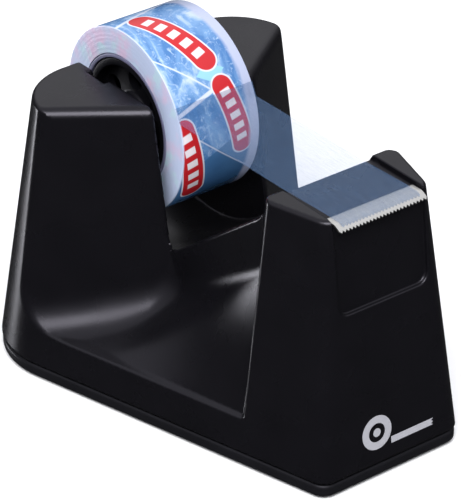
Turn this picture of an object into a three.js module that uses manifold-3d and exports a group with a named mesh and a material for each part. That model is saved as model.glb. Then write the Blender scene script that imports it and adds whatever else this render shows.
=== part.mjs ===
// Desk tape dispenser: a drafted plastic housing with a roll pocket between two cheeks,
// a lift-out axle with its hub and roll, a toothed blade on the front tower, and a base
// plate with a ballast weight inside and an anti-slip pad below.
// Millimetres, +Z up, X across, the blade faces -Y. The origin is the middle of the
// object's outline on the surface that it stands on.
import * as THREE from 'three';
import { mergeVertices } from 'three/addons/utils/BufferGeometryUtils.js';
import Module from 'manifold-3d';

const wasm = await Module();
wasm.setup();

// ---------------------------------------------------------------- driving dimensions

// Clearances
const gap = 0.3;
const runningGap = 0.15;

// Roll of tape, its core and the hub that carries it
const tapeWidth = 19;
const rollRadius = 19.5;
const coreBoreRadius = 13;
const coreWall = 0.8;
const leaderThickness = 0.3;
const hubWall = 1.6;
const hubWeb = 1.6;
const hubWebRecess = 2.4;
const hubBossRadius = 5;
const hubSpokes = 6;
const hubWindowRim = 0.9;
const axleRadius = 2.5;
const axleBevel = 0.4;

// Housing outline: a wedge in plan, wider at the rear, with every side leaning inwards
const bodyLength = 92.6;
const sideTaper = 0.28;
const sideDraft = 0.12;
const frontDraft = 0.11;
const rearDraft = 0.12;
const frontCornerRadius = 3.5;
const rearCornerBase = 18;
const rearCornerTop = 14;
const wall = 2;

// Heights
const padStand = 0.5;
const seamZ = 3.5;
const ledgeZ = 11;
const towerTopZ = 58.2;
const axleDrop = 9.2;
const earDrop = 0.6;
const earHeight = 1.5;

// Roll pocket, the ramp that rises out of it, and the axle slots
const rollSideGap = 2.5;
const pocketRadius = 28.2;
const rampTopDrop = 4.84;
const slotTilt = THREE.MathUtils.degToRad(24.3);
const slotDepth = 1.5;
const axleSetback = 18.5;

// Waist between the two towers, and the hollows scooped out of both sides
const waistRim = 0.5;
const scoopDrop = 12;
const scoopFillet = 8;
const scoopRearRise = 6;
const ledgeLip = 0.9;
const cheekFront = 13.6;
const cheekFrontSlope = 0.18;
const cheekSide = 0.4;
const towerDepth = 24.6;
const towerEdge = 19.6;
const towerLean = 2.4;
const saddleFillet = 2;

// Front tower: the channel between the ears, the blade and the finger panel below it
const channelSideGap = 1.4;
const earWidth = 1.4;
const panelDepth = 0.9;
const panelHeight = 18.5;
const panelCornerRadius = 2.5;
const bladeThickness = 0.4;
const bladeFlange = 3.1;
const bladeLip = 3;
const bladeBevelRun = 1.9;
const bladeBevelDrop = 0.9;
const bladeOverhang = 1.3;
const toothPitch = 0.8;
const toothDepth = 0.5;

// Base plate, pad, ballast and screws
const plateEdge = 0.9;
const plateInset = 0.2;
const baseLipHeight = 2;
const baseLipWall = 1.5;
const padThickness = 1.1;
const padMargin = 4;
const ballastSideGap = 1.2;
const ballastHeadroom = 0.5;
const screwRadius = 1.3;
const screwHeadRadius = 2.6;
const screwHeadHeight = 1.5;
const screwRecess = 0.7;
const screwLength = 10;
const screwSlotWidth = 0.6;
const screwSlotDepth = 0.8;
const screwSlotReach = 1.56;
const pilotSpare = 1;
const bossRadius = 3.2;
const bossRoof = 2;
const ribWidth = 2;
const screwInset = 5.2;
const frontScrewBack = 8;
const rearScrewFore = 20.6;

// Fineness of round shapes
const roundSegments = 48;
const arcSteps = 8;
const smallestRadius = 0.5;

// How far a cut runs past the face that it opens, and past the whole object
const cutPast = 1;
const cutReach = 90;

// ---------------------------------------------------------------- derived values

const overallLength = Math.max(bodyLength, bodyLength - axleSetback + rollRadius);
const frontY = -overallLength / 2;
const rearY = frontY + bodyLength;
const axleY = rearY - axleSetback;
const axleZ = towerTopZ - axleDrop;
const earTopZ = towerTopZ - earDrop;
const platformZ = earTopZ - earHeight;
const slotAxis = new THREE.Vector3(0, Math.sin(slotTilt), Math.cos(slotTilt));
const coreRadius = coreBoreRadius + coreWall;

const pocketHalf = tapeWidth / 2 + rollSideGap;
const waistHalf = pocketHalf + waistRim;
const channelHalf = tapeWidth / 2 + channelSideGap;
const bladeHalf = channelHalf - gap;
const towerFaceY = frontY + towerDepth;
const frontHalfWidth = channelHalf + earWidth + (sideDraft - sideTaper * frontDraft) * (earTopZ - seamZ);

// The ramp touches the pocket's circle and ends a little below the platform, at the front tower.
const rampRun = axleY - towerFaceY;
const rampRise = platformZ - rampTopDrop - axleZ;
const rampAngle = (
  Math.asin(pocketRadius / Math.hypot(rampRun, rampRise)) + Math.atan2(rampRise, rampRun));

const bladeLowZ = platformZ + gap;
const bladeTopZ = bladeLowZ + bladeThickness;

const baseTopZ = seamZ - gap;
const lipTopZ = seamZ + baseLipHeight;
const headTopZ = screwRecess + screwHeadHeight;
const pilotTopZ = headTopZ + screwLength + pilotSpare;
const bossTopZ = pilotTopZ + bossRoof;

const sideX = (y, z) => frontHalfWidth + sideTaper * (y - frontY) - sideDraft * (z - seamZ);
const frontAt = (z) => frontY + frontDraft * (z - seamZ);
const rearAt = (z) => rearY - rearDraft * (z - seamZ);
const rearCorner = (z) => (
  THREE.MathUtils.mapLinear(z, seamZ, towerTopZ, rearCornerBase, rearCornerTop));

const foldY = frontAt(platformZ) - bladeOverhang + bladeBevelRun;
const grooveY = foldY + bladeFlange;

// Front edge of the cheeks at height z.
const cheekY = (z) => axleY - cheekFront - cheekFrontSlope * (towerTopZ - z);

// Height of the pocket's ramp at y, lowered by the given depth.
function rampZ(y, depth = 0) {
  const reach = (axleY - y) * Math.sin(rampAngle);
  return axleZ + (reach - pocketRadius - depth) / Math.cos(rampAngle);
}

// Height at which the front edge of the cheeks, moved back by the given depth, meets the ramp.
function saddleLowZ(depth = 0) {
  return rampZ(cheekY(0) + depth, depth) / (1 + cheekFrontSlope * Math.tan(rampAngle));
}

// ---------------------------------------------------------------- solids

// A closed geometry as a manifold-3d solid.
function solid(geometry) {
  const bare = geometry.index ? geometry.toNonIndexed() : geometry.clone();
  bare.deleteAttribute('normal');
  bare.deleteAttribute('uv');
  const merged = mergeVertices(bare, 1e-4);
  return new wasm.Manifold(new wasm.Mesh({
    numProp: 3,
    vertProperties: merged.attributes.position.array,
    triVerts: new Uint32Array(merged.index.array),
  }));
}

// A manifold-3d solid as a geometry with flat faces.
function geometryOf(body) {
  const mesh = body.getMesh();
  const geometry = new THREE.BufferGeometry();
  geometry.setAttribute('position', new THREE.BufferAttribute(mesh.vertProperties, 3));
  geometry.setIndex(new THREE.BufferAttribute(mesh.triVerts, 1));
  return geometry;
}

// A skin over rings of points, each ring listed anticlockwise seen from the last ring's
// side, with a cap on both ends. plane picks the two coordinates that the caps lie in.
function loft(rings, plane) {
  const count = rings[0].length;
  const positions = rings.flat().flatMap((p) => [p.x, p.y, p.z]);
  const index = [];
  for (let r = 0; r < rings.length - 1; r++) {
    for (let i = 0; i < count; i++) {
      const a = r * count + i;
      const b = r * count + ((i + 1) % count);
      index.push(a, b, b + count, a, b + count, a + count);
    }
  }
  const last = (rings.length - 1) * count;
  for (const [i, j, k] of THREE.ShapeUtils.triangulateShape(rings[0].map(plane), [])) {
    index.push(i, k, j);
  }
  for (const [i, j, k] of THREE.ShapeUtils.triangulateShape(rings.at(-1).map(plane), [])) {
    index.push(last + i, last + j, last + k);
  }
  const geometry = new THREE.BufferGeometry();
  geometry.setAttribute('position', new THREE.Float32BufferAttribute(positions, 3));
  geometry.setIndex(index);
  return solid(geometry);
}

// Points of an arc that rounds the corner at b between the directions to a and c.
function roundCorner(a, b, c, radius, steps = arcSteps) {
  const u = a.clone().sub(b).normalize();
  const v = c.clone().sub(b).normalize();
  const half = Math.acos(THREE.MathUtils.clamp(u.dot(v), -1, 1)) / 2;
  const centre = b.clone().add(u.clone().add(v).normalize().multiplyScalar(radius / Math.sin(half)));
  const from = b.clone().add(u.multiplyScalar(radius / Math.tan(half))).sub(centre);
  const to = b.clone().add(v.multiplyScalar(radius / Math.tan(half))).sub(centre);
  const turn = Math.atan2(from.cross(to), from.dot(to));
  return Array.from({ length: steps + 1 }, (_, i) => (
    from.clone().rotateAround(new THREE.Vector2(), (turn * i) / steps).add(centre)));
}

// A prism along X over a polygon of (y, z) points, from x = -half to half.
function prismX(points, half) {
  const geometry = new THREE.ExtrudeGeometry(new THREE.Shape(points), {
    depth: 2 * half, bevelEnabled: false, curveSegments: arcSteps,
  });
  geometry.translate(0, 0, -half);
  geometry.applyMatrix4(new THREE.Matrix4().set(0, 0, 1, 0, 1, 0, 0, 0, 0, 1, 0, 0, 0, 0, 0, 1));
  return solid(geometry);
}

function box(x0, x1, y0, y1, z0, z1) {
  const geometry = new THREE.BoxGeometry(x1 - x0, y1 - y0, z1 - z0);
  geometry.translate((x0 + x1) / 2, (y0 + y1) / 2, (z0 + z1) / 2);
  return solid(geometry);
}

// An upright cylinder.
function post(x, y, z0, z1, radius) {
  const geometry = new THREE.CylinderGeometry(radius, radius, z1 - z0, roundSegments / 2);
  geometry.rotateX(Math.PI / 2);
  geometry.translate(x, y, (z0 + z1) / 2);
  return solid(geometry);
}

// A turned solid about the axle line, from a profile of (radius, x) points.
function turned(profile) {
  const geometry = new THREE.LatheGeometry(profile.map(([r, x]) => new THREE.Vector2(r, x)), roundSegments);
  geometry.rotateZ(-Math.PI / 2);
  geometry.translate(0, axleY, axleZ);
  return solid(geometry);
}

// A ring about the axle line.
function ring(inner, outer, x0, x1) {
  return turned([[inner, x0], [outer, x0], [outer, x1], [inner, x1], [inner, x0]]);
}

const mirrored = (body) => body.mirror([1, 0, 0]);

// ---------------------------------------------------------------- housing

// Plan of the housing at height z, set in by the given depth, anticlockwise from above.
function plan(z, inset) {
  const front = frontAt(z) + inset;
  const rear = rearAt(z) - inset;
  const slant = inset * Math.hypot(1, sideTaper);
  const corner = (y) => new THREE.Vector2(sideX(y, z) - slant, y);
  const flip = (p) => new THREE.Vector2(-p.x, p.y);
  const a = corner(front);
  const b = corner(rear);
  const right = [
    ...roundCorner(flip(a), a, b, Math.max(frontCornerRadius - inset, smallestRadius)),
    ...roundCorner(a, b, flip(b), rearCorner(z) - inset),
  ];
  return [...right, ...right.map(flip).reverse()];
}

// The plan at outlineZ as a ring of points at height z.
function planRing(z, inset, outlineZ = z) {
  return plan(outlineZ, inset).map((p) => new THREE.Vector3(p.x, p.y, z));
}

const planXY = (p) => new THREE.Vector2(p.x, p.y);
const planXZ = (p) => new THREE.Vector2(p.x, p.z);

// One side's scoop seen from above at height z: the cheek's front face, the waist and the
// back of the front tower, grown into the housing by the given depth.
function scoopPlan(z, depth) {
  const waist = waistHalf - depth;
  const cheekInner = cheekY(z) + depth;
  const cheekOuter = axleY - cheekSide + depth;
  const towerInner = towerFaceY - depth;
  const towerOuter = frontY + towerEdge - depth;
  const slope = (cheekOuter - cheekInner) / (sideX(cheekOuter, z) - waistHalf);
  const far = new THREE.Vector2(cutReach, cheekInner + slope * (cutReach - waistHalf));
  const cornerRear = new THREE.Vector2(waist, cheekInner);
  const cornerFront = new THREE.Vector2(waist, towerInner);
  const edge = new THREE.Vector2(sideX(towerOuter, z), towerOuter);
  const share = THREE.MathUtils.clamp((saddleLowZ() - z) / scoopDrop, 0, 1);
  return [
    ...roundCorner(far, cornerRear, cornerFront, THREE.MathUtils.lerp(waistRim, scoopFillet, share)),
    ...roundCorner(cornerRear, cornerFront, edge, saddleFillet),
    edge,
    new THREE.Vector2(cutReach, towerOuter),
    far,
  ];
}

// One side's scoop seen along Y: the waist wall, the fillet and the floor that runs out to
// the ledge on the housing's side.
function scoopSection(y, depth) {
  const waist = waistHalf - depth;
  const ledgeX = sideX(y, ledgeZ) - ledgeLip;
  const foot = Math.max(rampZ(y) - scoopDrop, ledgeZ + scoopRearRise);
  const slope = (foot - ledgeZ) / (ledgeX - waistHalf);
  const drop = depth * Math.hypot(1, slope);
  const top = new THREE.Vector2(waist, cutReach);
  const corner = new THREE.Vector2(waist, ledgeZ + slope * (ledgeX - waist) - drop);
  const ledge = new THREE.Vector2(ledgeX - (drop - depth) / slope, ledgeZ - depth);
  return [
    top,
    ...roundCorner(top, corner, ledge, scoopFillet),
    ledge,
    new THREE.Vector2(cutReach, ledgeZ - depth),
    new THREE.Vector2(cutReach, cutReach),
  ];
}

function scoop(depth) {
  const blendLevels = [3, 2, 1, 0].map((i) => saddleLowZ() - (scoopDrop * i) / 3);
  const levels = [0, ledgeZ, ...blendLevels, towerTopZ + cutPast].sort((a, b) => a - b);
  const upright = loft(levels.map((z) => (
    scoopPlan(z, depth).map((p) => new THREE.Vector3(p.x, p.y, z)))), planXY);
  const backY = frontY + towerEdge - 3 * wall;
  const stations = Array.from({ length: arcSteps + 1 }, (_, i) => (
    THREE.MathUtils.lerp(axleY, backY, i / arcSteps)));
  const lying = loft([rearY, ...stations].map((y) => (
    scoopSection(y, depth).map((p) => new THREE.Vector3(p.x, y, p.y)))), planXZ);
  return upright.intersect(lying);
}

// The open space between the towers above the waist, in front of the cheeks.
function saddle(depth) {
  const cheekAt = (z) => new THREE.Vector2(cheekY(z) + depth, z);
  const low = cheekAt(saddleLowZ(depth));
  const high = cheekAt(cutReach);
  const faceY = towerFaceY - depth;
  const face = new THREE.Vector2(faceY, rampZ(faceY, depth));
  const back = new THREE.Vector2(faceY - towerLean, platformZ);
  return prismX([
    high,
    new THREE.Vector2(faceY - towerLean, cutReach),
    back,
    ...roundCorner(back, face, low, saddleFillet / 2),
    ...roundCorner(face, low, high, saddleFillet),
  ], waistHalf + gap);
}

// The round pocket for the roll, open above and behind, with its ramp.
function pocket(depth) {
  const radius = pocketRadius + depth;
  const faceY = towerFaceY - depth;
  const arc = Array.from({ length: 2 * arcSteps + 1 }, (_, i) => {
    const angle = THREE.MathUtils.lerp(-rampAngle, Math.PI / 2, i / (2 * arcSteps));
    return new THREE.Vector2(axleY + radius * Math.sin(angle), axleZ - radius * Math.cos(angle));
  });
  return prismX([
    new THREE.Vector2(faceY, cutReach),
    new THREE.Vector2(faceY, rampZ(faceY, depth)),
    ...arc,
    new THREE.Vector2(axleY + radius, cutReach),
  ], pocketHalf + depth);
}

// The slots in both cheeks that the axle drops into.
function axleSlots(depth) {
  const radius = axleRadius + gap + depth;
  const across = new THREE.Vector2(slotAxis.z, -slotAxis.y).multiplyScalar(radius);
  const seat = new THREE.Vector2(axleY, axleZ);
  const mouth = seat.clone().addScaledVector(new THREE.Vector2(slotAxis.y, slotAxis.z), cutReach / 2);
  const round = Array.from({ length: arcSteps + 1 }, (_, i) => (
    across.clone().negate().rotateAround(new THREE.Vector2(), (Math.PI * i) / arcSteps).add(seat)));
  return prismX([...round, mouth.clone().add(across), mouth.clone().sub(across)],
    pocketHalf + slotDepth + depth);
}

// The groove in the platform that holds the blade's rear lip.
function bladeGroove(depth) {
  const half = bladeHalf + gap + depth;
  const y1 = grooveY + gap + depth;
  const y0 = grooveY - bladeThickness - gap - depth;
  return box(-half, half, y0, y1, platformZ - bladeLip - depth, platformZ + cutPast);
}

// The shallow finger panel in the front face, below the blade.
function fingerPanel(depth) {
  const half = channelHalf + depth;
  const low = platformZ - panelHeight - depth;
  const high = platformZ + 2 * panelCornerRadius;
  const corners = [[-half, high], [-half, low], [half, low], [half, high]];
  const [a, b, c, d] = corners.map(([x, z]) => new THREE.Vector2(x, z));
  const left = roundCorner(a, b, c, panelCornerRadius);
  const right = roundCorner(b, c, d, panelCornerRadius);
  const outline = [a, ...left, ...right, d];
  const ringAt = (set) => outline.map((p) => new THREE.Vector3(p.x, frontAt(p.y) + set, p.y));
  return loft([ringAt(panelDepth + depth), ringAt(-cutReach)], planXZ);
}

// The housing's outer form, or with a depth the form of the hollow inside its walls.
function housingForm(depth, bottomZ) {
  const topZ = towerTopZ - depth;
  const hull = loft([planRing(bottomZ, depth), planRing(topZ, depth)], planXY);
  const right = scoop(depth);
  const channel = channelHalf + depth;
  const cuts = [
    right,
    mirrored(right),
    saddle(depth),
    pocket(depth),
    axleSlots(depth),
    box(-cutReach, cutReach, -cutReach, towerFaceY, earTopZ - depth, cutReach),
    box(-channel, channel, -cutReach, towerFaceY, platformZ - depth, cutReach),
    bladeGroove(depth),
    fingerPanel(depth),
  ];
  return cuts.reduce((form, cut) => form.subtract(cut), hull);
}

// Where the base screws stand: near the front corners and in the rear towers.
const screwSpots = [frontY + frontScrewBack, rearY - rearScrewFore].flatMap((y) => {
  const x = sideX(y, seamZ) - screwInset;
  return [[-x, y], [x, y]];
});

// A screw boss with a rib that ties it to the side wall.
function boss([x, y]) {
  const bottomZ = lipTopZ + gap;
  const side = Math.sign(x) * sideX(y, seamZ);
  const half = ribWidth / 2;
  const rib = box(Math.min(x, side), Math.max(x, side), y - half, y + half, bottomZ, bossTopZ);
  return post(x, y, bottomZ, bossTopZ, bossRadius).add(rib);
}

function housingShell() {
  const outer = housingForm(0, seamZ);
  const hollow = housingForm(wall, -cutPast);
  const pilot = ([x, y]) => post(x, y, 0, pilotTopZ, screwRadius + gap);
  let shell = outer.subtract(hollow);
  for (const spot of screwSpots) {
    shell = shell.add(boss(spot).intersect(outer)).subtract(pilot(spot));
  }
  return shell;
}

// ---------------------------------------------------------------- base

// A flat piece on the base's outline between two heights, set in from the seam's outline.
function slab(bottomZ, topZ, inset) {
  return loft([planRing(bottomZ, inset, seamZ), planRing(topZ, inset, seamZ)], planXY);
}

function basePlate() {
  const plate = loft([
    planRing(padStand, plateInset + plateEdge, seamZ),
    planRing(padStand + plateEdge, plateInset, seamZ),
    planRing(baseTopZ, plateInset, seamZ),
  ], planXY);
  const lipInset = wall + gap;
  const lipRoot = planRing(baseTopZ - cutPast, lipInset, seamZ);
  const lipOuter = loft([lipRoot, planRing(lipTopZ, lipInset)], planXY);
  const lip = lipOuter.subtract(slab(0, lipTopZ + cutPast, lipInset + baseLipWall));
  const recess = slab(-cutPast, padThickness + gap, padMargin - gap);
  return screwSpots.reduce((left, [x, y]) => (
    left.subtract(post(x, y, -cutPast, headTopZ, screwHeadRadius + gap))
      .subtract(post(x, y, -cutPast, cutReach, screwRadius + gap))), plate.add(lip).subtract(recess));
}

function antiSlipPad() {
  return screwSpots.reduce((left, [x, y]) => (
    left.subtract(post(x, y, -cutPast, padThickness + cutPast, screwHeadRadius + 3 * gap))),
  slab(0, padThickness, padMargin));
}

function ballastPlate() {
  const inset = wall + gap + baseLipWall + ballastSideGap;
  const topZ = ledgeZ - wall - ballastHeadroom;
  return screwSpots.reduce((left, [x, y]) => (
    left.subtract(post(x, y, 0, bossTopZ, bossRadius + gap))), slab(seamZ, topZ, inset));
}

// A pan-head screw, head down, with a cross recess.
function baseScrew([x, y]) {
  const headTop = headTopZ - gap / 2;
  const head = post(x, y, screwRecess, headTop, screwHeadRadius);
  const shank = post(x, y, screwRecess, headTop + screwLength, screwRadius);
  const reach = screwSlotReach;
  const half = screwSlotWidth / 2;
  const slotTopZ = screwRecess + screwSlotDepth;
  const cross = box(x - reach, x + reach, y - half, y + half, 0, slotTopZ)
    .add(box(x - half, x + half, y - reach, y + reach, 0, slotTopZ));
  return head.add(shank).subtract(cross);
}

// ---------------------------------------------------------------- blade

// The bent strip: a lip down into the groove, a flat flange, and a bevel that ends in teeth.
function blade() {
  const lipZ = platformZ - bladeLip + gap;
  const lipY = grooveY - bladeThickness;
  const strip = prismX([
    new THREE.Vector2(lipY, lipZ),
    new THREE.Vector2(lipY, bladeLowZ),
    new THREE.Vector2(foldY, bladeLowZ),
    new THREE.Vector2(foldY, bladeTopZ),
    new THREE.Vector2(grooveY, bladeTopZ),
    new THREE.Vector2(grooveY, lipZ),
  ], bladeHalf);
  const teeth = Math.round((2 * bladeHalf) / toothPitch);
  const pitch = (2 * bladeHalf) / teeth;
  const reach = Math.hypot(bladeBevelRun, bladeBevelDrop);
  const start = -bladeThickness / 2;
  const outline = [
    new THREE.Vector2(-bladeHalf, start),
    new THREE.Vector2(bladeHalf, start),
    new THREE.Vector2(bladeHalf, reach - toothDepth),
  ];
  for (let i = teeth; i > 0; i--) {
    outline.push(new THREE.Vector2(-bladeHalf + (i - 0.5) * pitch, reach));
    outline.push(new THREE.Vector2(-bladeHalf + (i - 1) * pitch, reach - toothDepth));
  }
  const plate = new THREE.ExtrudeGeometry(new THREE.Shape(outline), {
    depth: bladeThickness, bevelEnabled: false,
  });
  plate.rotateX(Math.PI + Math.atan2(bladeBevelDrop, bladeBevelRun));
  plate.translate(0, foldY, bladeTopZ);
  return strip.add(solid(plate));
}

// ---------------------------------------------------------------- axle, hub and roll

function axlePin() {
  const end = pocketHalf + slotDepth - gap;
  const tip = axleRadius - axleBevel;
  return turned([
    [0, -end], [tip, -end], [axleRadius, -end + axleBevel],
    [axleRadius, end - axleBevel], [tip, end], [0, end],
  ]);
}

// Half of the hub, from the roll's middle to the cheek on its side.
function hubHalf(side) {
  const outer = coreBoreRadius - gap / 2;
  const inner = outer - hubWall;
  const bore = axleRadius + runningGap;
  const rim = tapeWidth / 2 - gap;
  const web = rim - hubWebRecess;
  const spacer = pocketHalf - 2 * gap;
  const nose = (bore + hubBossRadius) / 2;
  const half = turned([
    [bore, gap / 2], [hubBossRadius, gap / 2], [hubBossRadius, web - hubWeb], [inner, web - hubWeb],
    [inner, gap / 2], [outer, gap / 2], [outer, rim], [inner, rim], [inner, web], [hubBossRadius, web],
    [nose, spacer], [bore, spacer], [bore, gap / 2],
  ]);
  const windowAt = (hubBossRadius + inner) / 2;
  const windowRadius = (inner - hubBossRadius) / 2 - hubWindowRim;
  let open = half;
  for (let i = 0; i < hubSpokes; i++) {
    const angle = (2 * Math.PI * i) / hubSpokes;
    const hole = new THREE.CylinderGeometry(windowRadius, windowRadius, tapeWidth, roundSegments / 2);
    hole.rotateZ(Math.PI / 2);
    hole.translate(0, axleY + windowAt * Math.sin(angle), axleZ + windowAt * Math.cos(angle));
    open = open.subtract(solid(hole));
  }
  return side > 0 ? open : mirrored(open);
}

// The free end of the tape, from the roll across the platform to the blade's teeth.
function tapeLeader() {
  const clear = rollRadius + gap;
  const startZ = platformZ - gap;
  const startY = axleY - Math.sqrt(clear ** 2 - (startZ - axleZ) ** 2);
  const restY = towerFaceY - towerLean;
  const topZ = bladeTopZ + gap;
  const endY = foldY - bladeBevelRun + toothDepth;
  const endZ = topZ - bladeBevelDrop * (foldY - endY) / bladeBevelRun;
  const under = [
    new THREE.Vector2(startY, startZ),
    new THREE.Vector2(restY, bladeLowZ),
    new THREE.Vector2(grooveY + bladeThickness, topZ),
    new THREE.Vector2(foldY, topZ),
    new THREE.Vector2(endY, endZ),
  ];
  const over = under.map((p) => new THREE.Vector2(p.x, p.y + leaderThickness)).reverse();
  return prismX([...under, ...over].reverse(), tapeWidth / 2);
}

// ---------------------------------------------------------------- assembly

const finish = (color, roughness, metalness = 0) => (
  new THREE.MeshStandardMaterial({ color, roughness, metalness }));
const looks = {
  plastic: finish(0x141418, 0.38),
  base: finish(0x101014, 0.5),
  pad: finish(0x9aa0a2, 0.8),
  steel: finish(0xb9b8b4, 0.3, 1),
  ballast: finish(0x5b5d60, 0.55, 1),
  hub: finish(0x1b1b1f, 0.45),
  core: finish(0xdfe6f2, 0.5),
  tape: finish(0xb7cfe6, 0.25),
  film: finish(0xdfe9f5, 0.12),
};

const part = new THREE.Group();
function place(name, body, look) {
  const mesh = new THREE.Mesh(geometryOf(body), look);
  mesh.name = name;
  part.add(mesh);
}

place('housing_shell', housingShell(), looks.plastic);
place('base_plate', basePlate(), looks.base);
place('anti_slip_pad', antiSlipPad(), looks.pad);
place('ballast_plate', ballastPlate(), looks.ballast);
screwSpots.forEach((spot, i) => place(`base_screw_${i + 1}`, baseScrew(spot), looks.steel));
place('cutting_blade', blade(), looks.steel);
place('axle_pin', axlePin(), looks.steel);
place('hub_left', hubHalf(-1), looks.hub);
place('hub_right', hubHalf(1), looks.hub);
place('tape_core', ring(coreBoreRadius, coreRadius, -tapeWidth / 2, tapeWidth / 2), looks.core);
place('tape_winding', ring(coreRadius + gap / 2, rollRadius, -tapeWidth / 2, tapeWidth / 2), looks.tape);
place('tape_leader', tapeLeader(), looks.film);

export default part;
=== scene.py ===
"""Looks of a desk tape dispenser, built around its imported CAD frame.

Lengths are in millimetres (+Z up, the blade faces -Y), and meshes are scaled to metres when they are made.
Only the floor, the lights and the camera are placed in metres.
"""

import math

import bmesh
import bpy
import numpy as np
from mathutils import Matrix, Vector


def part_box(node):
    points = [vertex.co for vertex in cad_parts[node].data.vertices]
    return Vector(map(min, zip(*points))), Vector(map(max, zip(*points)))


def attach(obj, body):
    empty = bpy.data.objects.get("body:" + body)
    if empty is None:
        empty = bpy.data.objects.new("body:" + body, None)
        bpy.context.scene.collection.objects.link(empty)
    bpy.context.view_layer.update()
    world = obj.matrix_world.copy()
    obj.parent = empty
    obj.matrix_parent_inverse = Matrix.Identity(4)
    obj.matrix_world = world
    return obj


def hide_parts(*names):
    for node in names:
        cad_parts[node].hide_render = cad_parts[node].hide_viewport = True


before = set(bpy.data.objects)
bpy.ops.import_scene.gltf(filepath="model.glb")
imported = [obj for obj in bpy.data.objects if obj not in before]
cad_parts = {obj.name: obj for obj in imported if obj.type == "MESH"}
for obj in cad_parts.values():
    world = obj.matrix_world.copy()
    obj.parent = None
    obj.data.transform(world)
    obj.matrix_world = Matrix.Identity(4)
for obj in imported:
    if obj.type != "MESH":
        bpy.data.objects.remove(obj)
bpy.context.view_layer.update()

MM = 0.001

# ---------------------------------------------------------------- sizes, in millimetres

TAPE_WIDTH = 19.0
ROLL_RADIUS = 19.5
CORE_BORE_RADIUS = 13.0
CORE_RADIUS = 13.8
AXLE_RADIUS = 2.5

LENGTH = 93.6
FRONT_Y = -LENGTH / 2
REAR_Y = FRONT_Y + 92.6
FRONT_HALF_WIDTH = 17.1
SIDE_TAPER = 0.28
SIDE_DRAFT = 0.12
FRONT_DRAFT = 0.11
REAR_DRAFT = 0.12
FRONT_CORNER = 3.5
REAR_CORNER_BASE = 18.0
REAR_CORNER_TOP = 14.0
WALL = 2.0

PAD_STAND = 0.5
SEAM_Z = 3.5
TOWER_TOP_Z = 58.2
EAR_TOP_Z = 57.6
PLATFORM_Z = 56.1
LEDGE_Z = 11.0
AXLE_Y = LENGTH / 2 - ROLL_RADIUS
AXLE_Z = 49.0

POCKET_HALF = 12.0
POCKET_RADIUS = 28.2
RAMP_ANGLE = math.radians(37.3)
SLOT_TILT = math.radians(24.3)
SLOT_DEPTH = 1.5
WAIST_HALF = 12.5
SCOOP_DROP = 12.0
SCOOP_REAR_Z = 17.0
SCOOP_FILLET = 8.0
SCOOP_CORNER = 12.0
SCOOP_TOP_CORNER = 0.5
SCOOP_TOWER_FILLET = 0.8
SCOOP_TOWER_COSINE = 0.2
WAIST_BLEND = 5.0
FOOT_EASE = 6.0
LEDGE_LIP = 0.9
LEDGE_FILLET = 0.6
CHEEK_FRONT = 13.6
CHEEK_FRONT_SLOPE = 0.18
CHEEK_STRETCH = 1.02
CHEEK_SIDE = 0.4
TOWER_DEPTH = 24.6
TOWER_EDGE = 19.6
TOWER_LEAN = 2.4
CHANNEL_HALF = 10.9
PANEL_DEPTH = 0.9
PANEL_BOTTOM_Z = 37.6
PANEL_CORNER = 2.5
GAP = 0.3

# Radii of the housing's rounded edges
TOP_EDGE = 0.9
SCOOP_EDGE = 0.6
SCOOP_EDGE_SOFTER = 1.5
SADDLE_EDGE = 0.7
SADDLE_CHEEK_FILLET = 2.0
SADDLE_CHEEK_COSINE = -0.4
SADDLE_TOWER_FILLET = 1.0
SADDLE_TOWER_COSINE = -0.5
POCKET_EDGE = 0.6
POCKET_FILLET = 0.4
SLOT_EDGE = 0.4
CHANNEL_EDGE = 0.35
PANEL_EDGE = 0.35
SEAM_EDGE = 0.45

# The scoop's edge is SCOOP_EDGE_SOFTER wider behind y = 0 and higher than SOFT_TO above the ledge, and no
# wider ahead of SHARP_Y or lower than SOFT_FROM
SOFT_FROM = 1
SOFT_TO = 9
SHARP_Y = -16

# How far the ears' height holds behind the front tower
EAR_REACH = 5

BLADE_THICKNESS = 0.4
BLADE_HALF = 10.6
BLADE_LIP = 3.0
BLADE_TOP_Z = PLATFORM_Z + GAP + BLADE_THICKNESS
GROOVE_Y = FRONT_Y + 9.49
FOLD_Y = GROOVE_Y - 3.1
BEVEL_RUN = 1.9
BEVEL_DROP = 0.9
TOOTH_DEPTH = 0.5
TEETH = 26

# Spacing of the grid that a surface is meshed from, and the share of its faces that is kept
NET_STEP = 0.5
HOLLOW_STEP = 1.3
PAD_STEP = 0.6
HOUSING_KEEP = 0.45
PIECE_KEEP = 0.5


# ---------------------------------------------------------------- distance functions
# A distance function takes arrays of x, y and z, and gives what is negative inside its form. With a depth
# the form is drawn that far into the housing, which gives the hollow inside the housing's walls.

def side_x(y, z):
    return FRONT_HALF_WIDTH + SIDE_TAPER * (y - FRONT_Y) - SIDE_DRAFT * (z - SEAM_Z)


def front_y(z):
    return FRONT_Y + FRONT_DRAFT * (z - SEAM_Z)


def rear_y(z):
    return REAR_Y - REAR_DRAFT * (z - SEAM_Z)


def ramp_z(y, depth=0.0):
    reach = (AXLE_Y - y) * math.sin(RAMP_ANGLE)
    return AXLE_Z + (reach - POCKET_RADIUS - depth) / math.cos(RAMP_ANGLE)


def smooth(a, b, v):
    """Eases from 0 to 1 as v goes from a to b."""
    t = np.clip((v - a) / (b - a), 0, 1)
    return t * t * (3 - 2 * t)


def round_max(a, b, radius, cosine=0.0):
    """Common part of two half spaces with the edge between them rounded.

    cosine is that of the angle between their outward directions.
    """
    p = a + radius
    q = b + radius
    along_a = p - q * cosine
    along_b = q - p * cosine
    sine2 = 1 - cosine * cosine
    arc = np.sqrt(np.maximum(p * p + q * q - 2 * p * q * cosine, 0) / sine2) - radius
    return np.where((along_a > 0) & (along_b > 0), arc, np.maximum(a, b))


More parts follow.
